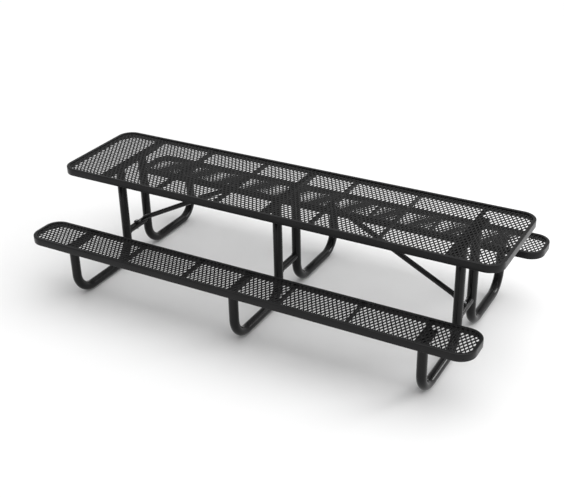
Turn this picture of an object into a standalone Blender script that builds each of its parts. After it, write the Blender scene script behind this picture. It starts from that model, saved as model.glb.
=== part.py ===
"""Ten-foot picnic table: expanded-metal top and two attached benches on three tubular leg frames.

X runs along the table, Y across it and Z up. The origin is on the ground under the middle of the top.
All sizes are in metres and include the plastic coating of the steel.
"""

import math

import bmesh
import bpy
from mathutils import Matrix, Vector

COLLECTION = "picnic_table"
CUTTER_COLLECTION = "picnic_table_cutters"

# Overall sizes
TOP_LENGTH = 3.048
TOP_WIDTH = 0.740
TABLE_HEIGHT = 0.762
SEAT_LENGTH = 3.048
SEAT_WIDTH = 0.284
SEAT_HEIGHT = 0.425
SEAT_OFFSET = 0.627  # from the middle of the table to the middle of a bench

# Rolled rim and its panel
RIM_HEIGHT = 0.046
RIM_WALL = 0.0045
RIM_LIP = 0.022
RIM_EDGE_RADIUS = 0.0035
TOP_CORNER_RADIUS = 0.100
SEAT_CORNER_RADIUS = 0.100
MESH_THICKNESS = 0.005

# Bars across a panel
CROSS_BAR_THICKNESS = 0.008
CROSS_BAR_DEPTH = 0.032
INNER_BAR_X = 0.335
OUTER_BAR_X = 0.773
ANGLE_LEG = 0.032
ANGLE_WALL = 0.005

# Leg frames
FRAME_X = 1.2205
TUBE_DIAMETER = 0.0603
TUBE_WALL = 0.0032
BEND_RADIUS = 0.140
INNER_POST_Y = 0.122
OUTER_POST_Y = 0.675
PLATE_WIDTH = 0.0635
PLATE_THICKNESS = 0.0064
PLATE_EDGE_RADIUS = 0.001
TOP_PLATE_LENGTH = 0.540
SEAT_PLATE_LENGTH = 0.200
TIE_DIAMETER = 0.0483
TIE_WALL = 0.003
TIE_HEIGHT = 0.2315  # centre line

# Diagonal braces and their bolts
BRACE_DIAMETER = 0.0334
TAB_WIDTH = 0.044
TAB_THICKNESS = 0.006
TAB_EDGE = 0.016  # from a bolt's centre to the end of its tab
TAB_TAPER = 0.070
TAB_BEND_RADIUS = 0.012
UPPER_BEND_BELOW_BAR_TOP = 0.045
BOLT_DIAMETER = 0.010
BOLT_HEAD_WIDTH = 0.017
BOLT_HEAD_HEIGHT = 0.0066
BOLT_TIP = 0.003
NUT_HEIGHT = 0.0085
HEAD_TO_BEND = 0.005  # from a lower bolt's head to the start of the bend

# Clearances and smoothness
JOINT_GAP = 0.0003
HOLE_CLEARANCE = 0.0004
CORNER_STEPS = 8
BEND_STEPS = 6
TUBE_BEVEL_RESOLUTION = 6
LOFT_SIDES = 16
TAPER_STEPS = 5
HOLE_SIDES = 16

TUBE_RADIUS = TUBE_DIAMETER / 2
MESH_DROP = RIM_WALL + JOINT_GAP  # from a rim's top to the top of its mesh
BAR_DROP = MESH_DROP + MESH_THICKNESS + JOINT_GAP  # from a rim's top to the top of its bars
TIE_TOP = TIE_HEIGHT + TIE_DIAMETER / 2
HEAD_RADIUS = BOLT_HEAD_WIDTH / math.sqrt(3)
FRAMES = (("left", -FRAME_X), ("middle", 0.0), ("right", FRAME_X))
BENCHES = (("front", -1), ("back", 1))


def clear_scene():
    for obj in list(bpy.data.objects):
        bpy.data.objects.remove(obj, do_unlink=True)


def new_collection(name):
    collection = bpy.data.collections.new(name)
    bpy.context.scene.collection.children.link(collection)
    return collection


def coated_metal(name, color, roughness, metallic=0.0):
    material = bpy.data.materials.new(name)
    material.use_nodes = True
    shader = material.node_tree.nodes["Principled BSDF"]
    shader.inputs["Base Color"].default_value = (*color, 1.0)
    shader.inputs["Roughness"].default_value = roughness
    shader.inputs["Metallic"].default_value = metallic
    return material


def add_object(name, data, material, collection):
    obj = bpy.data.objects.new(name, data)
    collection.objects.link(obj)
    if material:
        data.materials.append(material)
    return obj


def mesh_of(obj):
    """Replaces a curve object by a mesh object of the same name, with its caps welded."""
    graph = bpy.context.evaluated_depsgraph_get()
    mesh = bpy.data.meshes.new_from_object(obj.evaluated_get(graph))
    bm = bmesh.new()
    bm.from_mesh(mesh)
    bmesh.ops.remove_doubles(bm, verts=bm.verts, dist=1e-6)
    bmesh.ops.recalc_face_normals(bm, faces=bm.faces)
    bm.to_mesh(mesh)
    bm.free()
    name, matrix, collection = obj.name, obj.matrix_world.copy(), obj.users_collection[0]
    bpy.data.objects.remove(obj, do_unlink=True)
    made = bpy.data.objects.new(name, mesh)
    made.matrix_world = matrix
    collection.objects.link(made)
    return made


def shade_smooth(obj, angle=math.radians(35)):
    obj.data.shade_smooth()
    obj.data.set_sharp_from_angle(angle=angle)


def bevel_edges(obj, width):
    bevel = obj.modifiers.new("rounded edges", "BEVEL")
    bevel.width = width
    bevel.segments = 1
    bevel.limit_method = "ANGLE"


def box(name, low, high, material, collection, edge=0.0):
    """A box between two opposite corners, with its edges eased by edge."""
    low, high = Vector(low), Vector(high)
    bm = bmesh.new()
    bmesh.ops.create_cube(bm, size=1.0, matrix=Matrix.Diagonal((*(high - low), 1.0)))
    mesh = bpy.data.meshes.new(name)
    bm.to_mesh(mesh)
    bm.free()
    obj = add_object(name, mesh, material, collection)
    obj.location = (low + high) / 2
    if edge:
        bevel_edges(obj, edge)
    return obj


def arc(center, radius, start, end, steps):
    """Points on an arc in a plane, from start to end in radians."""
    angles = [start + (end - start) * i / steps for i in range(steps + 1)]
    return [(center[0] + radius * math.cos(a), center[1] + radius * math.sin(a)) for a in angles]


def rounded_rectangle(length, width, radius):
    """A closed outline about the origin, anticlockwise, with round corners."""
    x, y = length / 2 - radius, width / 2 - radius
    corners = ((x, y, 0), (-x, y, 1), (-x, -y, 2), (x, -y, 3))
    points = []
    for cx, cy, quarter in corners:
        start = quarter * math.pi / 2
        points += arc((cx, cy), radius, start, start + math.pi / 2, CORNER_STEPS)
    return points


def poly_curve(name, splines, dimensions, cyclic):
    curve = bpy.data.curves.new(name, "CURVE")
    curve.dimensions = dimensions
    for points in splines:
        spline = curve.splines.new("POLY")
        spline.points.add(len(points) - 1)
        for point, place in zip(spline.points, points):
            point.co = (*place, *([0.0] * (3 - len(place))), 1.0)
        spline.use_cyclic_u = cyclic
    return curve


def flat_plate(name, outlines, thickness, material, collection):
    """A flat plate of the given outlines, standing on z = 0."""
    curve = poly_curve(name, outlines, "2D", True)
    curve.fill_mode = "BOTH"
    curve.extrude = thickness / 2
    obj = add_object(name, curve, None, collection)
    obj.location = (0, 0, thickness / 2)
    bpy.context.view_layer.update()
    obj = mesh_of(obj)
    obj.data.materials.append(material)
    return obj


def rim(name, length, width, top, center_y, corner_radius, material, collection):
    """An angle-shaped rim: an upright wall with a lip turned inwards, carried round the panel."""
    edge = RIM_EDGE_RADIUS
    section = arc((edge, -edge), edge, math.pi / 2, math.pi, 3)
    section += [(0.0, -RIM_HEIGHT), (RIM_WALL, -RIM_HEIGHT), (RIM_WALL, -RIM_WALL)]
    section += [(RIM_LIP, -RIM_WALL), (RIM_LIP, 0.0)]
    profile = add_object(
        name + "_profile", poly_curve(name + "_profile", [section], "2D", True), None, collection
    )
    path = poly_curve(name, [rounded_rectangle(length, width, corner_radius)], "2D", True)
    path.bevel_mode = "OBJECT"
    path.bevel_object = profile
    obj = add_object(name, path, None, collection)
    obj.location = (0, center_y, top)
    bpy.context.view_layer.update()
    obj = mesh_of(obj)
    bpy.data.objects.remove(profile, do_unlink=True)
    obj.data.materials.append(material)
    shade_smooth(obj)
    return obj


def mesh_panel(name, length, width, top, center_y, corner_radius, material, collection):
    """The expanded-metal panel, as a sheet of its full thickness held under the rim's lip."""
    inset = RIM_WALL + JOINT_GAP
    outline = rounded_rectangle(length - 2 * inset, width - 2 * inset, corner_radius - inset)
    obj = flat_plate(name, [outline], MESH_THICKNESS, material, collection)
    obj.location = (0, center_y, top - MESH_DROP - MESH_THICKNESS / 2)
    return obj


def cross_bar(name, x, width, top, center_y, material, collection):
    """A flat bar on edge under the mesh, from rim wall to rim wall."""
    reach = width / 2 - RIM_WALL - JOINT_GAP
    low = (x - CROSS_BAR_THICKNESS / 2, center_y - reach, top - BAR_DROP - CROSS_BAR_DEPTH)
    high = (x + CROSS_BAR_THICKNESS / 2, center_y + reach, top - BAR_DROP)
    return box(name, low, high, material, collection)


def cross_angle(name, frame_x, width, top, center_y, material, collection):
    """An angle over a leg frame: one leg under the mesh, the other down to the rim's lower edge."""
    reach = width / 2 - RIM_WALL - JOINT_GAP
    depth = RIM_HEIGHT - BAR_DROP
    heel = ANGLE_LEG if frame_x <= 0 else -ANGLE_LEG
    inner = heel - math.copysign(ANGLE_WALL, heel)
    outline = [(0, 0), (0, -ANGLE_WALL), (inner, -ANGLE_WALL), (inner, -depth), (heel, -depth), (heel, 0)]
    obj = flat_plate(name, [outline], 2 * reach, material, collection)
    obj.rotation_euler = (math.pi / 2, 0, 0)
    obj.location = (frame_x, center_y, top - BAR_DROP)
    return obj


def panel(name, length, width, top, center_y, corner_radius, materials, collection):
    """A whole top or bench: rim, mesh, flat cross bars and the angles over the leg frames."""
    place = (width, top, center_y)
    rim(f"{name}_rim", length, *place, corner_radius, materials["rim"], collection)
    mesh_panel(f"{name}_mesh", length, *place, corner_radius, materials["mesh"], collection)
    bars = (-OUTER_BAR_X, -INNER_BAR_X, INNER_BAR_X, OUTER_BAR_X)
    for number, x in enumerate(bars, 1):
        cross_bar(f"{name}_cross_bar_{number}", x, *place, materials["bar"], collection)
    for side, x in FRAMES:
        cross_angle(f"{name}_cross_angle_{side}", x, *place, materials["bar"], collection)


def open_tube(name, points, radius, wall, material, collection):
    """A round tube along the points, open at both ends."""
    curve = poly_curve(name, [points], "3D", False)
    curve.bevel_depth = radius
    curve.bevel_resolution = TUBE_BEVEL_RESOLUTION
    curve.use_fill_caps = False
    obj = add_object(name, curve, None, collection)
    bpy.context.view_layer.update()
    obj = mesh_of(obj)
    obj.data.materials.append(material)
    solidify = obj.modifiers.new("tube wall", "SOLIDIFY")
    solidify.thickness = wall
    solidify.offset = -1.0
    shade_smooth(obj)
    return obj


def leg_tube(name, frame_x, side, material, collection):
    """A U-bent tube: bench post, bend, run along the ground, bend, and post to the top."""
    seat_end = SEAT_HEIGHT - RIM_HEIGHT - PLATE_THICKNESS - 2 * JOINT_GAP
    top_end = TABLE_HEIGHT - RIM_HEIGHT - PLATE_THICKNESS - 2 * JOINT_GAP
    bend_z = TUBE_RADIUS + BEND_RADIUS
    outer, inner = OUTER_POST_Y - BEND_RADIUS, INNER_POST_Y + BEND_RADIUS
    route = [(OUTER_POST_Y, seat_end)]
    route += arc((outer, bend_z), BEND_RADIUS, 0.0, -math.pi / 2, BEND_STEPS)
    route += arc((inner, bend_z), BEND_RADIUS, -math.pi / 2, -math.pi, BEND_STEPS)
    route += [(INNER_POST_Y, top_end)]
    points = [(frame_x, side * y, z) for y, z in route]
    return open_tube(name, points, TUBE_RADIUS, TUBE_WALL, material, collection)


def mounting_plate(name, frame_x, center_y, length, top, material, collection):
    """A flat plate on the post ends, under the panel's rim and angle."""
    low = (frame_x - PLATE_WIDTH / 2, center_y - length / 2, top - PLATE_THICKNESS)
    high = (frame_x + PLATE_WIDTH / 2, center_y + length / 2, top)
    return box(name, low, high, material, collection, PLATE_EDGE_RADIUS)


def tie_tube(name, frame_x, material, collection):
    """A tube that ties the two inner posts of a frame, its ends cut to the round of the posts."""
    ends = [(frame_x, side * INNER_POST_Y, TIE_HEIGHT) for side in (-1, 1)]
    obj = open_tube(name, ends, TIE_DIAMETER / 2, TIE_WALL, material, collection)
    for side in (-1, 1):
        place = Vector((frame_x, side * INNER_POST_Y, TIE_HEIGHT))
        cutter = round_cutter(f"{name}_end_{side}", place, TUBE_RADIUS + JOINT_GAP, 2 * TIE_DIAMETER)
        boolean(obj, cutter, "DIFFERENCE")
    return obj


def brace_route():
    """The line of the brace's flattened side as (distance from the table's middle, height)."""
    flat = TAB_THICKNESS / 2 + JOINT_GAP
    lower_z = TIE_TOP + flat
    upper_x = INNER_BAR_X + CROSS_BAR_THICKNESS / 2 + flat
    upper_z = TABLE_HEIGHT - BAR_DROP - UPPER_BEND_BELOW_BAR_TOP
    return [
        Vector((FRAME_X + TAB_EDGE, lower_z)),
        Vector((FRAME_X - HEAD_RADIUS - HEAD_TO_BEND, lower_z)),
        Vector((upper_x, upper_z)),
        Vector((upper_x, TABLE_HEIGHT - BAR_DROP - JOINT_GAP)),
    ]


def filleted(route, radius, steps):
    """The route with each inner corner turned into an arc of the given radius."""
    points = [route[0]]
    for before, corner, after in zip(route, route[1:], route[2:]):
        into, out = (before - corner).normalized(), (after - corner).normalized()
        half = math.acos(max(-1.0, min(1.0, into.dot(out)))) / 2
        middle = corner + (into + out).normalized() * (radius / math.sin(half))
        start = corner + into * (radius / math.tan(half)) - middle
        end = corner + out * (radius / math.tan(half)) - middle
        turn = start.angle_signed(end)
        points += [middle + Matrix.Rotation(-turn * i / steps, 2) @ start for i in range(steps + 1)]
    points.append(route[-1])
    return points


def brace_sections(route):
    """Stations along the brace, each with its half width and half depth: flat tabs, round between."""
    lower, upper = route[1], route[2]
    along = (upper - lower).normalized()
    clear = TAB_BEND_RADIUS * 1.5
    line = filleted(route, TAB_BEND_RADIUS, 4)
    half = len(line) // 2
    flat, thin = TAB_WIDTH / 2, TAB_THICKNESS / 2
    tube = BRACE_DIAMETER / 2
    tapers = []
    for step in range(1, TAPER_STEPS + 1):
        share = step / TAPER_STEPS
        blend = share * share * (3 - 2 * share)
        wide = flat + (tube - flat) * blend
        deep = thin + (tube - thin) * blend
        tapers.append((clear + TAB_TAPER * share, wide, deep))
    stations = [(point, flat, thin) for point in line[:half]]
    stations += [(lower + along * reach, wide, deep) for reach, wide, deep in tapers]
    stations += [(upper - along * reach, wide, deep) for reach, wide, deep in reversed(tapers)]
    stations += [(point, flat, thin) for point in line[half:]]
    return stations


def brace(name, side, material, collection):
    """A diagonal tube whose ends are flattened toward its lower side and bent into tabs."""
    stations = brace_sections(brace_route())
    points = [station[0] for station in stations]
    bm = bmesh.new()
    rings = []
    for i, (point, wide, deep) in enumerate(stations):
        ahead = points[min(i + 1, len(points) - 1)] - points[max(i - 1, 0)]
        normal = Vector((ahead.y, -ahead.x)).normalized()
        middle = point + normal * (deep - TAB_THICKNESS / 2)
        ring = []
        for k in range(LOFT_SIDES):
            angle = 2 * math.pi * k / LOFT_SIDES
            spot = middle + normal * (deep * math.sin(angle))
            ring.append(bm.verts.new((side * spot.x, wide * math.cos(angle), spot.y)))
        rings.append(ring)
    for ring, following in zip(rings, rings[1:]):
        for k in range(LOFT_SIDES):
            n = (k + 1) % LOFT_SIDES
            bm.faces.new((ring[k], ring[n], following[n], following[k]))
    bm.faces.new(rings[0])
    bm.faces.new(rings[-1])
    bmesh.ops.recalc_face_normals(bm, faces=bm.faces)
    mesh = bpy.data.meshes.new(name)
    bm.to_mesh(mesh)
    bm.free()
    obj = add_object(name, mesh, material, collection)
    shade_smooth(obj)
    return obj


def hide(obj):
    obj.hide_render = True
    obj.display_type = "WIRE"


def boolean(obj, other, operation):
    cut = obj.modifiers.new(f"{operation.lower()} {other.name}", "BOOLEAN")
    cut.operation = operation
    cut.object = other


def turned(direction):
    """The rotation that points +Z of a round or hexagonal piece along direction."""
    return Vector(direction).to_track_quat("Z", "X").to_matrix().to_4x4()


def prism(name, sides, radius, start, end):
    """A mesh for a straight prism about Z, between two heights."""
    bm = bmesh.new()
    bmesh.ops.create_cone(
        bm, cap_ends=True, segments=sides, radius1=radius, radius2=radius, depth=end - start
    )
    bmesh.ops.translate(bm, verts=bm.verts, vec=(0, 0, (start + end) / 2))
    mesh = bpy.data.meshes.new(name)
    bm.to_mesh(mesh)
    bm.free()
    return mesh


def helper(name, mesh, matrix):
    """A hidden object that cuts or joins others."""
    obj = bpy.data.objects.new(name, mesh)
    obj.matrix_world = matrix
    bpy.data.collections[CUTTER_COLLECTION].objects.link(obj)
    hide(obj)
    return obj


def round_cutter(name, place, radius, length):
    mesh = prism(name, HOLE_SIDES * 2, radius, -length / 2, length / 2)
    return helper(name, mesh, Matrix.Translation(place))


def bolted(name, head, direction, grip, members, material, collection):
    """A hex bolt and nut through members: its head bears at head and its shank runs along direction."""
    direction = Vector(direction)
    matrix = Matrix.Translation(head) @ turned(direction)
    tip = grip + NUT_HEIGHT + BOLT_TIP
    head_mesh = prism(name, 6, HEAD_RADIUS, -BOLT_HEAD_HEIGHT, 0.0)
    bolt = add_object(name + "_bolt", head_mesh, material, collection)
    bolt.matrix_world = matrix
    shank = prism(name + "_shank", HOLE_SIDES, BOLT_DIAMETER / 2, -BOLT_HEAD_HEIGHT / 2, tip)
    boolean(bolt, helper(name + "_shank", shank, matrix), "UNION")
    nut_mesh = prism(name, 6, HEAD_RADIUS, grip, grip + NUT_HEIGHT)
    nut = add_object(name + "_nut", nut_mesh, material, collection)
    nut.matrix_world = matrix
    hole = prism(name + "_hole", HOLE_SIDES, BOLT_DIAMETER / 2 + HOLE_CLEARANCE, -grip, 2 * grip)
    cutter = helper(name + "_hole", hole, matrix)
    for member in (*members, nut):
        boolean(member, cutter, "DIFFERENCE")


def braces(collection, materials):
    """The two braces and the bolts that hold them to the tie tubes and the inner cross bars."""
    route = brace_route()
    fastener = materials["fastener"]
    lower_grip = TAB_THICKNESS + TIE_DIAMETER + 3 * JOINT_GAP
    upper_grip = TAB_THICKNESS + CROSS_BAR_THICKNESS + 3 * JOINT_GAP
    lower_z = route[0].y + TAB_THICKNESS / 2 + JOINT_GAP
    upper_x = route[3].x + TAB_THICKNESS / 2 + JOINT_GAP
    for side, label, bar in ((-1, "left", "top_cross_bar_2"), (1, "right", "top_cross_bar_3")):
        piece = brace(f"brace_{label}", side, materials["brace"], collection)
        tie = bpy.data.objects[f"tie_tube_{label}"]
        lower = Vector((side * FRAME_X, 0, lower_z))
        upper = Vector((side * upper_x, 0, route[3].y - TAB_EDGE))
        bolted(f"brace_lower_{label}", lower, (0, 0, -1), lower_grip, (piece, tie), fastener, collection)
        bolted(f"brace_upper_{label}", upper, (-side, 0, 0), upper_grip,
               (piece, bpy.data.objects[bar]), fastener, collection)


def main():
    clear_scene()
    table = new_collection(COLLECTION)
    new_collection(CUTTER_COLLECTION)
    black = (0.018, 0.018, 0.019)
    materials = {
        "rim": coated_metal("coated_rim", black, 0.38),
        "mesh": coated_metal("coated_mesh", black, 0.42),
        "bar": coated_metal("coated_bar", black, 0.40),
        "tube": coated_metal("powder_coated_tube", (0.020, 0.020, 0.021), 0.33),
        "plate": coated_metal("powder_coated_plate", (0.020, 0.020, 0.021), 0.36),
        "brace": coated_metal("powder_coated_brace", (0.020, 0.020, 0.021), 0.34),
        "fastener": coated_metal("steel_fastener", (0.42, 0.42, 0.43), 0.35, 1.0),
    }
    panel("top", TOP_LENGTH, TOP_WIDTH, TABLE_HEIGHT, 0.0, TOP_CORNER_RADIUS, materials, table)
    for label, side in BENCHES:
        panel(f"{label}_bench", SEAT_LENGTH, SEAT_WIDTH, SEAT_HEIGHT, side * SEAT_OFFSET,
              SEAT_CORNER_RADIUS, materials, table)
    top_plate_z = TABLE_HEIGHT - RIM_HEIGHT - JOINT_GAP
    seat_plate_z = SEAT_HEIGHT - RIM_HEIGHT - JOINT_GAP
    for place, x in FRAMES:
        mounting_plate(f"top_plate_{place}", x, 0.0, TOP_PLATE_LENGTH, top_plate_z,
                       materials["plate"], table)
        tie_tube(f"tie_tube_{place}", x, materials["tube"], table)
        for label, side in BENCHES:
            leg_tube(f"{label}_leg_{place}", x, side, materials["tube"], table)
            mounting_plate(f"{label}_seat_plate_{place}", x, side * SEAT_OFFSET, SEAT_PLATE_LENGTH,
                           seat_plate_z, materials["plate"], table)
    braces(table, materials)


main()
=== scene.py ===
"""A ten-foot picnic table: coated diamond mesh in rolled rims, on three bent-tube leg frames.

X runs along the table, Y across it and Z up, in metres. Every shape is a formula worked out as whole
numpy arrays: a section carried along a line, or a surface of two parameters.
"""

import math

import bpy
import numpy as np
from mathutils import Matrix, Vector


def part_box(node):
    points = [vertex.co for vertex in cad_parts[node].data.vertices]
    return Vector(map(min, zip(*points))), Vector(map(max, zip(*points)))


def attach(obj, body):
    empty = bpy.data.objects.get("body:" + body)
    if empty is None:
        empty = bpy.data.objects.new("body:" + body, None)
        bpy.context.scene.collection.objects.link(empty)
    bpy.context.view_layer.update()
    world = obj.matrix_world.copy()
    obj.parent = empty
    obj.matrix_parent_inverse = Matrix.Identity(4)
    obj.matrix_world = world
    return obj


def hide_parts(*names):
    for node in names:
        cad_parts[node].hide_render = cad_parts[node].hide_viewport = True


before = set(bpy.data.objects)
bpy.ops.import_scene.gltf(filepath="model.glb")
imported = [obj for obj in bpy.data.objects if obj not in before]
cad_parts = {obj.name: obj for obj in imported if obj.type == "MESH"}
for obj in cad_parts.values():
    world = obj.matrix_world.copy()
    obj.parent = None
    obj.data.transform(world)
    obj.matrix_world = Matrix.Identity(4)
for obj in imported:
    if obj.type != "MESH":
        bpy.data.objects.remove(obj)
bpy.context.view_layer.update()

# Rolled rims
RIM_WALL = 0.0045
RIM_LIP = 0.022
RIM_CORNER = 0.100
RIM_CORNER_STEPS = 28
RIM_TOP_EDGE_RADIUS = 0.0042
RIM_EDGE_RADIUS = 0.0018
RIM_INNER_RADIUS = 0.0030
RIM_LIP_EDGE_RADIUS = 0.0019

# Bars and angles under a panel
BAR_TOP_RADIUS = 0.0015
BAR_EDGE_RADIUS = 0.0022
ANGLE_WALL = 0.005
ANGLE_EDGE_RADIUS = 0.0018
ANGLE_INNER_RADIUS = 0.003
ANGLE_HEEL_RADIUS = 0.0035
BAR_ROUND_STEPS = 3
BAR_END_EASE = 0.0006

# Diamond mesh: one strand in each direction makes half a diamond
DIAMOND_ALONG = 0.0278
DIAMOND_ACROSS = 0.0481
MESH_CLEARANCE = 0.0008  # between a strand's end and the wall of the rim
STRAND_WIDTH = 0.0086
STRAND_DEPTH = 0.0034
STRAND_LEAN = -0.21
STRAND_SIDES = 8
STRAND_ROUNDNESS = 0.62  # 1 for an ellipse, less for a squarer section
BOND_GAP = 0.0034  # between the middles of two strands where they are joined
BOND_REACH = (0.05, 0.17, 0.83, 0.95)  # shares of the way from one bond to the next
BOND_SHARE = (0.0, 0.12, 0.88, 1.0)  # how far a strand has crossed over at each of them
BOND_WIDENING = (1.03, 1.10, 1.10, 1.03)  # and how much wider its slant makes it

# Leg frames
BEND_RADIUS = 0.140
TUBE_WALL = 0.0032
TUBE_SIDES = 40
BEND_STEPS = 20
TIE_WALL = 0.003
TIE_STEPS = 8
TIE_CLEARANCE = 0.0003  # between the cut end of a tie and the post
PLATE_CORNER_RADIUS = 0.006
PLATE_EASE = 0.0012

# Braces
BRACE_RADIUS = 0.0167
BRACE_SIDES = 32
BRACE_BEND_STEPS = 8
TAB_WIDTH = 0.044
TAB_THICKNESS = 0.006
TAB_CLEARANCE = 0.0003
TAB_TAPER = 0.070
TAB_TAPER_STEPS = 18
TAB_BEND = 0.012
BEND_TO_TAPER = 1.5 * TAB_BEND  # from the corner of a bend to where the tab starts to open
TAB_ROUND = 0.010
TAB_ROUND_STEPS = 6
LOWER_BEND_TO_BOLT = 0.0148
UPPER_BEND_BELOW_BAR_TOP = 0.045

# Fasteners
HEX_WIDTH = 0.017
HEX_SIDES = 48
HEX_CHAMFER = math.radians(25)
HEX_FACE_SHARE = 0.97  # the round face of a head or nut, as a share of its width
HEAD_HEIGHT = 0.0066
NUT_HEIGHT = 0.0085
NUT_CLEARANCE = 0.0003
BOLT_RADIUS = 0.005
SHANK_SIDES = 28
SHANK_START = -0.001  # a little inside the head
SHANK_TIP = 0.0008
THREAD_PITCH = 0.0015
THREAD_STEPS = 8
THREAD_DEPTH = 0.0005
TIP_DEPTH = 1.8 * THREAD_DEPTH

# Weld beads
BEAD_PITCH = 0.0042
BEAD_SWELL = 0.13
BEAD_SIDES = 10
BEAD_TAPER = 1.5  # length of the shrinking end of a bead, in radii
BEAD_END_SIZE = 0.35
BAR_BEAD_RADIUS = 0.0026
BAR_BEAD_INSET = 0.001
BAR_BEAD_GAP = 0.004  # from an end of the bead to the edge of the bar
ANGLE_BEAD_GAP = 0.003  # and to the lower edge of an angle
POST_BEAD_STEPS = 150
POST_BEAD_RADIUS = 0.0030
POST_BEAD_OUT = 0.0008
POST_BEAD_DROP = 0.0012
TIE_BEAD_STEPS = 110
TIE_BEAD_RADIUS = 0.0032
TIE_BEAD_OUT = 0.0010

# Studio
FLOOR_HALF = 40.0
FLOOR_GREY = 0.86
WORLD_LEVEL = 0.50
OVERHEAD_STRENGTH = 2.3
OVERHEAD_TILT = math.radians(16)
OVERHEAD_TURN = math.radians(130)
OVERHEAD_SPREAD = math.radians(85)
SOFTBOX_PLACE = (4.6, 3.4, 1.9)
SOFTBOX_AIM = (0.8, 0, 0.4)
SOFTBOX_SIZE = (2.0, 1.6)
SOFTBOX_POWER = 85.0
CAMERA_PLACE = (2.83255, -5.00547, 3.44335)
CAMERA_HEADING = 0.5210420
CAMERA_TILT = 0.4956653
CAMERA_ROLL = -0.0240380
CAMERA_LENS = 63.998

PANELS = ("top", "front_bench", "back_bench")
PLACES = ("left", "middle", "right")
SIDES = (("front", -1), ("back", 1))


# Finishes

def node(tree, kind, links=None, **values):
    """Adds a shader node, sets its inputs by name and joins the given sockets to them."""
    made = tree.nodes.new(kind)
    for name, value in values.items():
        name = name.replace("_", " ")
        made.inputs[name].default_value = value
    for name, socket in (links or {}).items():
        tree.links.new(socket, made.inputs[name])
    return made


def ramp(tree, socket, low, high, start=0.3, end=0.7):
    """Spreads a pattern between two colours."""
    made = node(tree, "ShaderNodeValToRGB", {"Fac": socket})
    first, last = made.color_ramp.elements
    first.position, last.position = start, end
    first.color, last.color = (*low, 1.0), (*high, 1.0)
    return made.outputs["Color"]


def spread(tree, socket, low, high, start=0.3, end=0.7):
    """Spreads a pattern between two numbers."""
    made = node(tree, "ShaderNodeMapRange", {"Value": socket})
    for name, value in (("From Min", start), ("From Max", end), ("To Min", low), ("To Max", high)):
        made.inputs[name].default_value = value
    return made.outputs["Result"]


def noise(tree, place, scale, detail, roughness=0.5):
    """A noise pattern in the object's own space."""
    made = node(tree, "ShaderNodeTexNoise", {"Vector": place}, Scale=scale, Detail=detail)
    made.inputs["Roughness"].default_value = roughness
    return made.outputs["Fac"]


def coated_steel(name, dark, light, gloss, peel_size, peel_height, specular):
    """Plastic-coated or powder-coated steel.

    A slow noise drifts the colour between two near blacks, a second one drifts the gloss, and two fine
    ones at peel_size raise the orange peel of a coat that was melted on.
    """
    material = bpy.data.materials.new(name)
    material.use_nodes = True
    tree = material.node_tree
    shader = tree.nodes["Principled BSDF"]
    shader.inputs["Specular IOR Level"].default_value = specular
    place = node(tree, "ShaderNodeTexCoord").outputs["Object"]
    drift = noise(tree, place, 7.0, 3.0)
    tree.links.new(ramp(tree, drift, dark, light), shader.inputs["Base Color"])
    smears = noise(tree, place, 31.0, 4.0, 0.6)
    tree.links.new(spread(tree, smears, *gloss), shader.inputs["Roughness"])
    peel = noise(tree, place, 1.0 / peel_size, 2.0)
    runs = noise(tree, place, 0.12 / peel_size, 1.0)
    soft = node(tree, "ShaderNodeBump", {"Height": runs}, Strength=0.6, Distance=4 * peel_height)
    bump = node(tree, "ShaderNodeBump", {"Height": peel, "Normal": soft.outputs["Normal"]},
                Strength=0.6, Distance=peel_height)
    tree.links.new(bump.outputs["Normal"], shader.inputs["Normal"])
    return material


def zinc_plate(name):
    """Zinc-plated steel: a crystal bloom varies its grey and its gloss, and fine scratches its surface."""
    material = bpy.data.materials.new(name)
    material.use_nodes = True
    tree = material.node_tree
    shader = tree.nodes["Principled BSDF"]
    shader.inputs["Metallic"].default_value = 1.0
    place = node(tree, "ShaderNodeTexCoord").outputs["Object"]
    bloom = node(tree, "ShaderNodeTexVoronoi", {"Vector": place}, Scale=700.0).outputs["Color"]
    grey = node(tree, "ShaderNodeRGBToBW", {"Color": bloom}).outputs["Val"]
    tree.links.new(ramp(tree, grey, (0.50, 0.51, 0.53), (0.68, 0.69, 0.70), 0.1, 0.9),
                   shader.inputs["Base Color"])
    tree.links.new(spread(tree, grey, 0.24, 0.38, 0.1, 0.9), shader.inputs["Roughness"])
    scratches = noise(tree, place, 2500.0, 3.0)
    bump = node(tree, "ShaderNodeBump", {"Height": scratches}, Strength=0.3, Distance=0.00004)
    tree.links.new(bump.outputs["Normal"], shader.inputs["Normal"])
    return material


FINISHES = {
    "coated_rim": coated_steel("black_coat_on_rim", (0.0050, 0.0050, 0.0054), (0.0080, 0.0080, 0.0084),
                               (0.26, 0.36), 0.0024, 0.00010, 0.21),
    "coated_mesh": coated_steel("black_coat_on_mesh", (0.0028, 0.0028, 0.0030), (0.0050, 0.0050, 0.0052),
                                (0.24, 0.36), 0.0018, 0.00008, 0.17),
    "coated_bar": coated_steel("black_coat_on_bars", (0.0045, 0.0045, 0.0048), (0.0070, 0.0070, 0.0074),
                               (0.30, 0.40), 0.0022, 0.00010, 0.10),
    "powder_coated_tube": coated_steel("black_powder_on_tubes", (0.0040, 0.0040, 0.0043),
                                       (0.0065, 0.0065, 0.0068), (0.12, 0.20), 0.0014, 0.00002, 0.22),
    "powder_coated_plate": coated_steel("black_powder_on_plates", (0.0045, 0.0045, 0.0048),
                                        (0.0070, 0.0070, 0.0073), (0.24, 0.34), 0.0014, 0.00004, 0.10),
    "powder_coated_brace": coated_steel("black_powder_on_braces", (0.0040, 0.0040, 0.0043),
                                        (0.0065, 0.0065, 0.0068), (0.10, 0.18), 0.0014, 0.00002, 0.26),
    "steel_fastener": zinc_plate("zinc_on_fasteners"),
}


# Turning arrays into pieces

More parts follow.
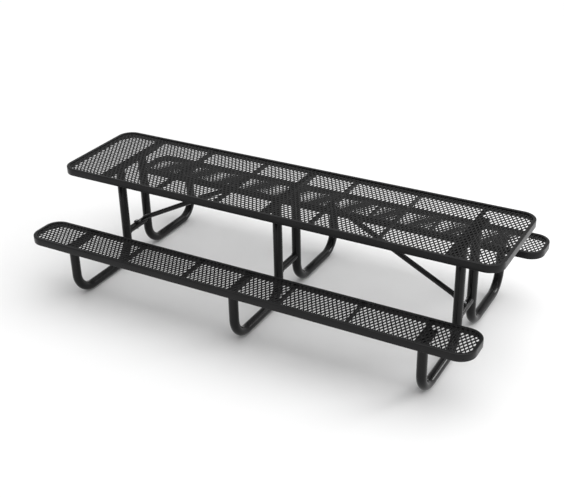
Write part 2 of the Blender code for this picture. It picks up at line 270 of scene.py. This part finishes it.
def skin(sections, ring=False):
    """(points, faces) of a closed skin over an array of sections (station, round, 3).

    Each four-cornered face joins two neighbours on one section to the same two on the next. A ring
    joins its last section to its first, and otherwise a flat face closes each end. The sum of
    a . (b x c) over the faces tells whether they face inwards, and turns them if they do.
    """
    index = np.arange(sections.shape[0] * sections.shape[1]).reshape(sections.shape[:2])
    here = index if ring else index[:-1]
    ahead = np.roll(index, -1, axis=0) if ring else index[1:]
    corners = [here, np.roll(here, -1, axis=1), np.roll(ahead, -1, axis=1), ahead]
    quads = np.stack(corners, axis=-1).reshape(-1, 4)
    faces = [quads] if ring else [quads, index[:1, ::-1], index[-1:]]
    points = sections.reshape(-1, 3)
    centred = points - points.mean(axis=0)
    a, b, c, d = (centred[quads[:, k]] for k in range(4))
    inside_out = (a * np.cross(b, c)).sum() + (a * np.cross(c, d)).sum() < 0
    return points, [face[:, ::-1] for face in faces] if inside_out else faces


def joined(skins):
    """Several skins as one set of points and faces."""
    offsets = np.cumsum([0] + [len(points) for points, _ in skins])
    points = np.concatenate([points for points, _ in skins])
    faces = [face + offset for (_, faces), offset in zip(skins, offsets) for face in faces]
    return points, faces


def piece(name, slot, skins, nodes=(), crease=38.0):
    """A mesh object made of skins, which rides on the table and stands for the given CAD nodes. Edges
    sharper than the crease angle stay sharp."""
    points, faces = joined(skins)
    corners = np.concatenate([face.ravel() for face in faces]).astype(np.int32)
    sizes = np.concatenate([np.full(len(face), face.shape[1]) for face in faces])
    mesh = bpy.data.meshes.new(name)
    mesh.vertices.add(len(points))
    mesh.vertices.foreach_set("co", points.astype(np.float32).ravel())
    mesh.loops.add(len(corners))
    mesh.loops.foreach_set("vertex_index", corners)
    mesh.polygons.add(len(sizes))
    mesh.polygons.foreach_set("loop_start", (np.cumsum(sizes) - sizes).astype(np.int32))
    mesh.update(calc_edges=True)
    mesh.shade_smooth()
    mesh.set_sharp_from_angle(angle=math.radians(crease))
    mesh.materials.append(FINISHES[slot])
    made = bpy.data.objects.new(name, mesh)
    bpy.context.scene.collection.objects.link(made)
    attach(made, "root")
    if nodes:
        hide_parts(*nodes)
    return made


def unit(vector):
    """A vector's direction, as a vector of length one."""
    return vector / np.linalg.norm(vector)


def corner_arc(before, corner, after, radius, steps):
    """Points of an arc that rounds a corner and touches both of its sides.

    The arc's middle is at radius / sin(half the angle) from the corner, along the line that halves it.
    At share s of the turn, a point is (start sin((1 - s) turn) + end sin(s turn)) / sin(turn) from it.
    """
    back, on = unit(before - corner), unit(after - corner)
    half = math.acos(np.clip(back @ on, -1, 1)) / 2
    middle = corner + unit(back + on) * radius / math.sin(half)
    start = corner + back * radius / math.tan(half) - middle
    end = corner + on * radius / math.tan(half) - middle
    share = np.linspace(0, 1, steps + 1)[:, None]
    turn = math.pi - 2 * half
    return middle + (start * np.sin((1 - share) * turn) + end * np.sin(share * turn)) / math.sin(turn)


def rounded_section(corners, steps=4):
    """A closed flat outline from corners of (a, b, radius), each of them rounded."""
    places = np.array([corner[:2] for corner in corners])
    after = np.roll(places, -1, axis=0)
    return np.concatenate([corner_arc(places[k - 1], places[k], after[k], corners[k][2], steps)
                           for k in range(len(corners))])


def signed_power(value, power):
    """The size of each value raised to a power, with the value's own sign, to square off an ellipse."""
    return np.sign(value) * np.abs(value) ** power


# Rims, bars and angles

def panel_size(panel):
    """(half length, half width, height of the top, middle across) of a panel, from its rim's box."""
    low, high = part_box(f"{panel}_rim")
    return high.x, (high.y - low.y) / 2, high.z, (low.y + high.y) / 2


def make_rim(panel):
    """The rolled rim: an angle section carried round a rounded rectangle.

    At turn t of a corner whose middle is (cx, cy), a section point at depth d from the outside is at
    (cx + (R - d) cos t, cy + (R - d) sin t), and the straight sides join one corner to the next.
    """
    length, width, top, middle = panel_size(panel)
    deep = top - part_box(f"{panel}_rim")[0].z
    section = rounded_section([
        (0.0, 0.0, RIM_TOP_EDGE_RADIUS),
        (0.0, -deep, RIM_EDGE_RADIUS),
        (RIM_WALL, -deep, RIM_EDGE_RADIUS),
        (RIM_WALL, -RIM_WALL, RIM_INNER_RADIUS),
        (RIM_LIP, -RIM_WALL, RIM_EDGE_RADIUS),
        (RIM_LIP, 0.0, RIM_LIP_EDGE_RADIUS),
    ])
    quarter = np.arange(4)[:, None]
    turn = (quarter * np.pi / 2 + np.linspace(0, np.pi / 2, RIM_CORNER_STEPS + 1)).ravel()
    sign_x = np.repeat([1, -1, -1, 1], RIM_CORNER_STEPS + 1)
    sign_y = np.repeat([1, 1, -1, -1], RIM_CORNER_STEPS + 1)
    reach = RIM_CORNER - section[:, 0]
    sections = np.stack([
        (sign_x * (length - RIM_CORNER))[:, None] + reach * np.cos(turn)[:, None],
        middle + (sign_y * (width - RIM_CORNER))[:, None] + reach * np.sin(turn)[:, None],
        top + section[:, 1] + 0 * turn[:, None],
    ], axis=-1)
    piece(f"{panel}_rolled_rim", "coated_rim", [skin(sections, ring=True)], [f"{panel}_rim"])


def carried_across(section, start, end):
    """A section of (x, z) carried straight along Y from start to end, with its end faces eased."""
    centre = section.mean(axis=0)
    inner = centre + (section - centre) * (1 - BAR_END_EASE / np.abs(section - centre).max())
    rows = [(inner, start), (section, start + BAR_END_EASE), (section, end - BAR_END_EASE), (inner, end)]
    sections = np.array([np.column_stack([row[:, 0], np.full(len(row), y), row[:, 1]]) for row, y in rows])
    return skin(sections)


def weld_bead(path, radius, ring=False):
    """A weld bead along a path of points: a round section that swells and shrinks once each BEAD_PITCH.

    A bead that isn't a ring also shrinks at each end, by a quarter circle.
    """
    ahead = np.roll(path, -1, axis=0) - np.roll(path, 1, axis=0)
    if not ring:
        ahead[0], ahead[-1] = path[1] - path[0], path[-1] - path[-2]
    ahead /= np.linalg.norm(ahead, axis=1)[:, None]
    steps = np.linalg.norm(np.diff(path, axis=0), axis=1)
    along = np.concatenate([[0], np.cumsum(steps)])
    if ring:
        whole = along[-1] + np.linalg.norm(path[0] - path[-1])
        ripple = np.cos(2 * np.pi * along / whole * max(round(whole / BEAD_PITCH), 1))
        taper = 1.0
    else:
        ripple = np.cos(2 * np.pi * along / BEAD_PITCH)
        end = np.minimum(along, along[-1] - along) / (BEAD_TAPER * radius)
        taper = BEAD_END_SIZE + (1 - BEAD_END_SIZE) * np.sqrt(1 - (1 - np.clip(end, 0, 1)) ** 2)
    size = radius * (1 + BEAD_SWELL * ripple) * taper
    guide = np.where(np.abs(ahead[:, 2:]) < 0.8, [[0.0, 0.0, 1.0]], [[1.0, 0.0, 0.0]])
    side = np.cross(ahead, guide)
    side /= np.linalg.norm(side, axis=1)[:, None]
    up = np.cross(side, ahead)
    round_ = np.linspace(0, 2 * np.pi, BEAD_SIDES, endpoint=False)[None, :, None]
    offset = side[:, None] * np.cos(round_) + up[:, None] * np.sin(round_)
    return skin(path[:, None] + offset * size[:, None, None], ring=ring)


def line(start, end, step=0.001):
    """Points along a straight line, a step apart."""
    start, end = np.array(start, float), np.array(end, float)
    count = max(int(np.linalg.norm(end - start) / step), 4)
    return start + (end - start) * np.linspace(0, 1, count)[:, None]


def make_bars(panel):
    """The flat bars and the angles under a panel, each with the beads that weld it to the rim."""
    for number in range(1, 5):
        low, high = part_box(f"{panel}_cross_bar_{number}")
        section = rounded_section([
            (low.x, high.z, BAR_TOP_RADIUS),
            (low.x, low.z, BAR_EDGE_RADIUS),
            (high.x, low.z, BAR_EDGE_RADIUS),
            (high.x, high.z, BAR_TOP_RADIUS),
        ], BAR_ROUND_STEPS)
        skins = [carried_across(section, low.y, high.y)]
        for y in (low.y + BAR_BEAD_INSET, high.y - BAR_BEAD_INSET):
            for x in (low.x, high.x):
                path = line((x, y, low.z + BAR_BEAD_GAP), (x, y, high.z - BAR_BEAD_GAP))
                skins.append(weld_bead(path, BAR_BEAD_RADIUS))
        piece(f"{panel}_flat_bar_{number}", "coated_bar", skins, [f"{panel}_cross_bar_{number}"])
    for place in PLACES:
        low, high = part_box(f"{panel}_cross_angle_{place}")
        heel, toe = (high.x, low.x) if place != "right" else (low.x, high.x)
        wall = math.copysign(ANGLE_WALL, toe - heel)
        section = rounded_section([
            (toe, high.z, ANGLE_EDGE_RADIUS),
            (toe, high.z - ANGLE_WALL, ANGLE_EDGE_RADIUS),
            (heel + wall, high.z - ANGLE_WALL, ANGLE_INNER_RADIUS),
            (heel + wall, low.z, ANGLE_EDGE_RADIUS),
            (heel, low.z, ANGLE_EDGE_RADIUS),
            (heel, high.z, ANGLE_HEEL_RADIUS),
        ], BAR_ROUND_STEPS)
        skins = [carried_across(section, low.y, high.y)]
        for y in (low.y + BAR_BEAD_INSET, high.y - BAR_BEAD_INSET):
            path = line((heel, y, low.z + ANGLE_BEAD_GAP), (heel, y, high.z - BAR_BEAD_GAP))
            skins.append(weld_bead(path, BAR_BEAD_RADIUS))
        piece(f"{panel}_angle_{place}", "coated_bar", skins, [f"{panel}_cross_angle_{place}"])


# Diamond mesh

def strand_sections(panel):
    """(points, kept) of the strands of a panel, with the points as (strand, station, round, 3).

    Strand k lies at x = (k + 1/2) pitch / 2. Between bonds n and n + 1 it crosses from one side to the
    other, so at share u of the way x moves by reach * (-1)^(k + n) * (1 - 2 g(u)). The section is a
    squared-off ellipse that widens by the slant of the strand and leans a little, as stretched metal
    does. Its y is held inside the rounded rectangle of the rim, and kept is false where that leaves
    nothing between one station and the next.
    """
    length, width, _, middle = panel_size(panel)
    low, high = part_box(f"{panel}_mesh")
    inset = RIM_WALL + MESH_CLEARANCE
    half_length, half_width, corner = length - inset, width - inset, RIM_CORNER - inset
    half_along, half_across = DIAMOND_ALONG / 2, DIAMOND_ACROSS / 2
    reach = (half_along - BOND_GAP) / 2
    count = int(2 * (half_length - reach - STRAND_WIDTH / 2) / half_along)
    x = (np.arange(count) - (count - 1) / 2) * half_along
    most = math.ceil(width / half_across) + 1
    bonds = np.arange(-most, most)
    across = (bonds[:, None] + np.array(BOND_REACH)).ravel() * half_across
    swing = ((-1.0) ** bonds[:, None] * (1 - 2 * np.array(BOND_SHARE))).ravel()
    widening = np.tile(BOND_WIDENING, len(bonds))
    past = np.clip(np.abs(x) + reach - (half_length - corner), 0, corner)
    limit = (half_width - corner + np.sqrt(corner ** 2 - past ** 2))[:, None]
    y = np.clip(across, -limit, limit)
    turned = np.where(np.arange(count) % 2, -1.0, 1.0)[:, None]
    around = (np.arange(STRAND_SIDES) + 0.5) * 2 * np.pi / STRAND_SIDES
    offset = STRAND_WIDTH / 2 * signed_power(np.cos(around), STRAND_ROUNDNESS) * widening[:, None]
    tall = STRAND_DEPTH / 2 * signed_power(np.sin(around), STRAND_ROUNDNESS)
    points = np.stack(np.broadcast_arrays(
        (x[:, None] + reach * swing * turned)[:, :, None] + offset,
        middle + y[:, :, None],
        (low.z + high.z) / 2 + tall + STRAND_LEAN * offset,
    ), axis=-1)
    return points, np.diff(y, axis=1) > 1e-7


def make_mesh(panel, parts):
    """The diamond mesh of a panel, as one piece or as three side by side.

    Each kept step of a strand has a ring of four-cornered faces, and a flat face closes each end.
    """
    points, kept = strand_sections(panel)
    index = np.arange(points[..., 0].size).reshape(points.shape[:3])
    first = kept.argmax(axis=1)
    last = kept.shape[1] - kept[:, ::-1].argmax(axis=1)
    here, ahead = index[:, :-1], index[:, 1:]
    quads = np.stack([here, ahead, np.roll(ahead, -1, axis=2), np.roll(here, -1, axis=2)], axis=-1)
    for part, chosen in enumerate(np.array_split(np.arange(len(index)), parts)):
        sides = quads[chosen][kept[chosen]]
        ends = np.stack([index[chosen, first[chosen]], index[chosen, last[chosen]][:, ::-1]])
        corners = np.concatenate([sides.ravel(), ends.ravel()])
        used, compact = np.unique(corners, return_inverse=True)
        compact = compact.reshape(-1)
        faces = [compact[:sides.size].reshape(-1, 4), compact[sides.size:].reshape(-1, STRAND_SIDES)]
        name = f"{panel}_diamond_mesh" if parts == 1 else f"{panel}_diamond_mesh_{PLACES[part]}"
        skins = [(points.reshape(-1, 3)[used], faces)]
        piece(name, "coated_mesh", skins, [f"{panel}_mesh"], crease=60.0)


# Leg frames

def make_leg(label, side, place):
    """One bent tube: bench post, ground run and inner post, hollow, with a bead at each plate.

    At turn t of a bend with middle (cy, cz), the tube's skin is at cy + (R + r sin p) cos t across and
    cz + (R + r sin p) sin t up, with x = x0 + r cos p. The same line carries the outside out and the
    bore back.
    """
    low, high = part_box(f"{label}_leg_{place}")
    radius = (high.x - low.x) / 2
    x0 = (high.x + low.x) / 2
    far = max(abs(low.y), abs(high.y)) - radius
    near = min(abs(low.y), abs(high.y)) + radius
    seat_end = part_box(f"{label}_seat_plate_{place}")[0].z
    turn = np.linspace(0, -np.pi / 2, BEND_STEPS + 1)
    ground = low.z + radius + BEND_RADIUS
    turns = np.concatenate([[0.0], turn, turn - np.pi / 2, [-np.pi]])
    steps = BEND_STEPS + 1
    cy = np.concatenate([np.full(steps + 1, far - BEND_RADIUS), np.full(steps + 1, near + BEND_RADIUS)])
    cz = np.concatenate([[seat_end], np.full(2 * steps, ground), [high.z]])
    there = np.arange(len(turns))
    order = np.concatenate([there, there[::-1]])
    size = np.repeat([radius, radius - TUBE_WALL], len(turns))[:, None]
    round_ = np.linspace(0, 2 * np.pi, TUBE_SIDES, endpoint=False)
    swing = BEND_RADIUS + size * np.sin(round_)
    sections = np.stack(np.broadcast_arrays(
        x0 + size * np.cos(round_),
        side * (cy[order][:, None] + swing * np.cos(turns[order])[:, None]),
        cz[order][:, None] + swing * np.sin(turns[order])[:, None],
    ), axis=-1)
    bead = np.linspace(0, 2 * np.pi, POST_BEAD_STEPS, endpoint=False)
    ring = radius + POST_BEAD_OUT
    skins = [skin(sections, ring=True)]
    for y, z in ((far, seat_end), (near, high.z)):
        path = np.column_stack([x0 + ring * np.cos(bead), side * y + ring * np.sin(bead),
                                np.full(len(bead), z - POST_BEAD_DROP)])
        skins.append(weld_bead(path, POST_BEAD_RADIUS, ring=True))
    piece(f"{label}_bent_leg_{place}", "powder_coated_tube", skins, [f"{label}_leg_{place}"])


def make_tie(place):
    """The tube between two inner posts, its ends cut to their round: at x from the middle of the post,
    a tube of radius r ends at the post's middle less the square root of R squared less x squared."""
    low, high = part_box(f"tie_tube_{place}")
    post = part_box(f"front_leg_{place}")
    x0, z0 = (low.x + high.x) / 2, (low.z + high.z) / 2
    post_radius = (post[1].x - post[0].x) / 2
    post_y = post_radius - post[1].y
    radius = (high.z - low.z) / 2
    round_ = np.linspace(0, 2 * np.pi, TUBE_SIDES, endpoint=False)
    share = np.linspace(-1, 1, TIE_STEPS + 1)
    shares = np.concatenate([share, share[::-1]])[:, None]
    size = np.repeat([radius, radius - TIE_WALL], len(share))[:, None]
    x = size * np.cos(round_)
    reach = post_y - np.sqrt((post_radius + TIE_CLEARANCE) ** 2 - x ** 2)
    sections = np.stack(np.broadcast_arrays(x0 + x, shares * reach, z0 + size * np.sin(round_)), axis=-1)
    skins = [skin(sections, ring=True)]
    bead = np.linspace(0, 2 * np.pi, TIE_BEAD_STEPS, endpoint=False)
    ring = radius + TIE_BEAD_OUT
    for side in (-1, 1):
        end = post_y - np.sqrt((post_radius + TIE_BEAD_OUT) ** 2 - (ring * np.cos(bead)) ** 2)
        path = np.column_stack([x0 + ring * np.cos(bead), side * end, z0 + ring * np.sin(bead)])
        skins.append(weld_bead(path, TIE_BEAD_RADIUS, ring=True))
    piece(f"{place}_tie_tube_welded", "powder_coated_tube", skins, [f"tie_tube_{place}"])


def make_plate(node_name):
    """A mounting plate: a rounded outline carried up, eased at both faces, with its corners rounded."""
    low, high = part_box(node_name)
    outline = rounded_section([
        (low.x, low.y, PLATE_CORNER_RADIUS),
        (high.x, low.y, PLATE_CORNER_RADIUS),
        (high.x, high.y, PLATE_CORNER_RADIUS),
        (low.x, high.y, PLATE_CORNER_RADIUS),
    ], steps=6)
    centre = (np.array(low[:2]) + np.array(high[:2])) / 2
    inward = np.sign(outline - centre)
    part_way = PLATE_EASE * 0.3
    rows = [
        (PLATE_EASE, low.z), (part_way, low.z + part_way), (0.0, low.z + PLATE_EASE),
        (0.0, high.z - PLATE_EASE), (part_way, high.z - part_way), (PLATE_EASE, high.z),
    ]
    sections = np.array([np.column_stack([outline - inward * back, np.full(len(outline), z)])
                         for back, z in rows])
    piece(f"{node_name}_eased", "powder_coated_plate", [skin(sections)], [node_name])


# Braces and fasteners

def brace_line(place, bar):
    """Corners of a brace's line as (distance from the middle, height): tab, bend, bend, tab."""
    tie_low, tie_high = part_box(f"tie_tube_{place}")
    bar_low, bar_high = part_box(bar)
    brace_low, brace_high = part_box(f"brace_{place}")
    flat = TAB_THICKNESS / 2 + TAB_CLEARANCE
    bolt_x = (abs(tie_low.x) + abs(tie_high.x)) / 2
    end_x = max(abs(brace_low.x), abs(brace_high.x))
    upper_x = max(abs(bar_low.x), abs(bar_high.x)) + flat
    return np.array([
        (end_x, tie_high.z + flat), (bolt_x - LOWER_BEND_TO_BOLT, tie_high.z + flat),
        (upper_x, bar_high.z - UPPER_BEND_BELOW_BAR_TOP), (upper_x, brace_high.z),
    ])


def make_brace(place, side, bar):
    """A tube whose ends are pressed flat toward its lower side and bent into tabs.

    The line runs through an arc at each bend. The half width and half depth go from the tab's to the
    tube's by 3 s^2 - 2 s^3 over the taper, the section is |cos|^(2/n), |sin|^(2/n) with n from 5 on a
    tab to 2 on the tube, and a tab's last bit narrows as a quarter circle.
    """
    corners = brace_line(place, bar)
    lower_bend = corner_arc(*corners[:3], TAB_BEND, BRACE_BEND_STEPS)
    upper_bend = corner_arc(*corners[1:], TAB_BEND, BRACE_BEND_STEPS)
    ease = np.linspace(0, 1, TAB_TAPER_STEPS + 1)
    taper = unit(corners[2] - corners[1]) * (BEND_TO_TAPER + TAB_TAPER * ease)[:, None]
    quarter = np.linspace(0, np.pi / 2, TAB_ROUND_STEPS + 1)
    nose = TAB_ROUND * (1 - np.cos(quarter))[:, None]
    route = np.concatenate([
        corners[0] + unit(corners[1] - corners[0]) * nose,
        lower_bend,
        corners[1] + taper,
        (corners[2] - taper)[::-1],
        upper_bend,
        (corners[3] + unit(corners[2] - corners[3]) * nose)[::-1],
    ])
    tab = np.zeros(len(nose) + len(lower_bend))
    rising = 3 * ease ** 2 - 2 * ease ** 3
    blend = np.concatenate([tab, rising, rising[::-1], tab])
    rounding = TAB_ROUND * (1 - np.sin(quarter))
    between = np.zeros(len(route) - 2 * len(rounding))
    narrow = np.concatenate([rounding, between, rounding[::-1]])
    wide = TAB_WIDTH / 2 + (BRACE_RADIUS - TAB_WIDTH / 2) * blend - narrow
    deep = TAB_THICKNESS / 2 + (BRACE_RADIUS - TAB_THICKNESS / 2) * blend
    power = 2 / (5 - 3 * blend[:, None])
    ahead = np.gradient(route, axis=0)
    ahead /= np.linalg.norm(ahead, axis=1)[:, None]
    normal = np.column_stack([ahead[:, 1], -ahead[:, 0]])
    middle = route + normal * (deep - TAB_THICKNESS / 2)[:, None]
    round_ = np.linspace(0, 2 * np.pi, BRACE_SIDES, endpoint=False)
    across = signed_power(np.cos(round_), power) * wide[:, None]
    out = signed_power(np.sin(round_), power) * deep[:, None]
    sections = np.stack([
        side * (middle[:, :1] + normal[:, :1] * out), across, middle[:, 1:] + normal[:, 1:] * out,
    ], axis=-1)
    piece(f"{place}_brace_pressed", "powder_coated_brace", [skin(sections)], [f"brace_{place}"],
          crease=50.0)


def hexagon(turn, width):
    """Distance from the middle to the edge of a hexagon, at a turn."""
    return width / 2 / np.cos((turn + np.pi / 6) % (np.pi / 3) - np.pi / 6)


def placed(sections, origin, direction):
    """Sections built about +Z, moved so that +Z points along direction from origin."""
    matrix = np.array(Vector(direction).to_track_quat("Z", "X").to_matrix())
    return sections @ matrix.T + np.array(origin)


def hex_body(start, end, hole, chamfered):
    """A hexagon between two heights, with a round hole or none. Each chamfered end drops by the
    tangent of the chamfer times the distance past its round face."""
    turn = np.linspace(0, 2 * np.pi, HEX_SIDES, endpoint=False)
    edge = hexagon(turn, HEX_WIDTH)
    circle = np.full(HEX_SIDES, HEX_WIDTH / 2 * HEX_FACE_SHARE)
    drop = (edge - circle) * math.tan(HEX_CHAMFER)
    bottom = start + drop * chamfered[0]
    top = end - drop * chamfered[1]
    flat = np.ones(HEX_SIDES)
    rows = [(circle, start * flat), (edge, bottom), (edge, top), (circle, end * flat)]
    if hole:
        rows = [(hole * flat, start * flat), *rows, (hole * flat, end * flat)]
    return np.array([np.column_stack([size * np.cos(turn), size * np.sin(turn), height])
                     for size, height in rows])


def make_bolt(name, origin, direction, tip):
    """A hex bolt: head behind its bearing face, and a threaded shank. On the thread the radius is the
    bolt's less the depth times how far the height is from the crest of the winding at that turn."""
    head = hex_body(-HEAD_HEIGHT, 0.0, 0.0, (1, 0))
    turn = np.linspace(0, 2 * np.pi, SHANK_SIDES, endpoint=False)
    height = np.arange(SHANK_START, tip - SHANK_TIP, THREAD_PITCH / THREAD_STEPS)[:, None]
    phase = (height / THREAD_PITCH - turn / (2 * np.pi)) % 1
    size = BOLT_RADIUS - THREAD_DEPTH * np.abs(2 * phase - 1)
    size = np.concatenate([size, np.full((1, SHANK_SIDES), BOLT_RADIUS - TIP_DEPTH)])
    height = np.concatenate([height, [[tip]]])
    shank = np.stack(np.broadcast_arrays(size * np.cos(turn), size * np.sin(turn), height), axis=-1)
    piece(f"{name}_zinc_bolt", "steel_fastener",
          [skin(placed(head, origin, direction)), skin(placed(shank, origin, direction))],
          [f"{name}_bolt"], crease=24.0)


def make_nut(name, origin, direction):
    """A hex nut with both faces chamfered and a hole through it."""
    body = hex_body(0.0, NUT_HEIGHT, BOLT_RADIUS + NUT_CLEARANCE, (1, 1))
    piece(f"{name}_zinc_nut", "steel_fastener", [skin(placed(body, origin, direction), ring=True)],
          [f"{name}_nut"], crease=24.0)


def make_fasteners(place, side):
    """The two bolts of a brace, each with its nut, where the CAD has them."""
    for level in ("lower", "upper"):
        name = f"brace_{level}_{place}"
        low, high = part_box(f"{name}_bolt")
        nut_low, nut_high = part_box(f"{name}_nut")
        centre = (np.array(low) + np.array(high)) / 2
        if level == "lower":
            bearing = (centre[0], centre[1], high.z - HEAD_HEIGHT)
            direction, tip = (0, 0, -1), high.z - HEAD_HEIGHT - low.z
            seat = (centre[0], centre[1], nut_high.z)
        else:
            far = max(abs(low.x), abs(high.x)) - HEAD_HEIGHT
            bearing = (side * far, centre[1], centre[2])
            direction, tip = (-side, 0, 0), far - min(abs(low.x), abs(high.x))
            seat = (side * max(abs(nut_low.x), abs(nut_high.x)), centre[1], centre[2])
        make_bolt(name, bearing, direction, tip)
        make_nut(name, seat, direction)


def make_table():
    """Every piece of the table, panel by panel, then frame by frame, then the braces."""
    for panel in PANELS:
        make_rim(panel)
        make_bars(panel)
        make_mesh(panel, 3 if panel == "top" else 1)
    for place in PLACES:
        make_tie(place)
        make_plate(f"top_plate_{place}")
        for label, side in SIDES:
            make_leg(label, side, place)
            make_plate(f"{label}_seat_plate_{place}")
    for place, side, bar in (("left", -1, "top_cross_bar_2"), ("right", 1, "top_cross_bar_3")):
        make_brace(place, side, bar)
        make_fasteners(place, side)


# Studio

def make_floor():
    """A wide pale floor."""
    mesh = bpy.data.meshes.new("studio_floor")
    corners = [(x * FLOOR_HALF, y * FLOOR_HALF, 0) for x, y in ((-1, -1), (1, -1), (1, 1), (-1, 1))]
    mesh.from_pydata(corners, [], [(0, 1, 2, 3)])
    material = bpy.data.materials.new("pale_floor")
    material.use_nodes = True
    shader = material.node_tree.nodes["Principled BSDF"]
    shader.inputs["Base Color"].default_value = (FLOOR_GREY, FLOOR_GREY, FLOOR_GREY, 1.0)
    shader.inputs["Roughness"].default_value = 0.7
    shader.inputs["Specular IOR Level"].default_value = 0.2
    mesh.materials.append(material)
    floor = bpy.data.objects.new("studio_floor", mesh)
    bpy.context.scene.collection.objects.link(floor)


def make_world():
    """An even white surround."""
    world = bpy.data.worlds.new("studio")
    world.use_nodes = True
    background = world.node_tree.nodes["Background"]
    background.inputs["Color"].default_value = (1.0, 1.0, 1.0, 1.0)
    background.inputs["Strength"].default_value = WORLD_LEVEL
    bpy.context.scene.world = world


def make_softbox():
    """A rectangular soft light from the right and behind."""
    light = bpy.data.lights.new("right_softbox", "AREA")
    light.shape = "RECTANGLE"
    light.size, light.size_y = SOFTBOX_SIZE
    light.energy = SOFTBOX_POWER
    made = bpy.data.objects.new("right_softbox", light)
    made.location = SOFTBOX_PLACE
    made.rotation_euler = (Vector(SOFTBOX_AIM) - Vector(SOFTBOX_PLACE)).to_track_quat("-Z", "Y").to_euler()
    bpy.context.scene.collection.objects.link(made)


def make_camera():
    """The camera, from its place, heading, tilt and roll."""
    ahead = Vector((
        -math.sin(CAMERA_HEADING) * math.cos(CAMERA_TILT),
        math.cos(CAMERA_HEADING) * math.cos(CAMERA_TILT),
        -math.sin(CAMERA_TILT),
    ))
    right = ahead.cross((0, 0, 1)).normalized()
    up = right.cross(ahead)
    turned_right = right * math.cos(CAMERA_ROLL) + up * math.sin(CAMERA_ROLL)
    turned_up = up * math.cos(CAMERA_ROLL) - right * math.sin(CAMERA_ROLL)
    data = bpy.data.cameras.new("camera")
    data.sensor_width = 36.0
    data.lens = CAMERA_LENS
    data.clip_end = 200.0
    camera = bpy.data.objects.new("camera", data)
    matrix = Matrix((turned_right, turned_up, -ahead)).transposed().to_4x4()
    camera.matrix_world = Matrix.Translation(CAMERA_PLACE) @ matrix
    bpy.context.scene.collection.objects.link(camera)
    bpy.context.scene.camera = camera


def make_overhead_light():
    """A far, very soft light from above, tilted off the vertical and turned about it."""
    light = bpy.data.lights.new("overhead_light", "SUN")
    light.energy = OVERHEAD_STRENGTH
    light.angle = OVERHEAD_SPREAD
    made = bpy.data.objects.new("overhead_light", light)
    made.rotation_euler = (OVERHEAD_TILT, 0.0, OVERHEAD_TURN)
    bpy.context.scene.collection.objects.link(made)


def make_studio():
    """Floor, surround, lights and camera."""
    make_floor()
    make_world()
    make_overhead_light()
    make_softbox()
    make_camera()
    bpy.context.scene.view_settings.view_transform = "Standard"


make_table()
make_studio()
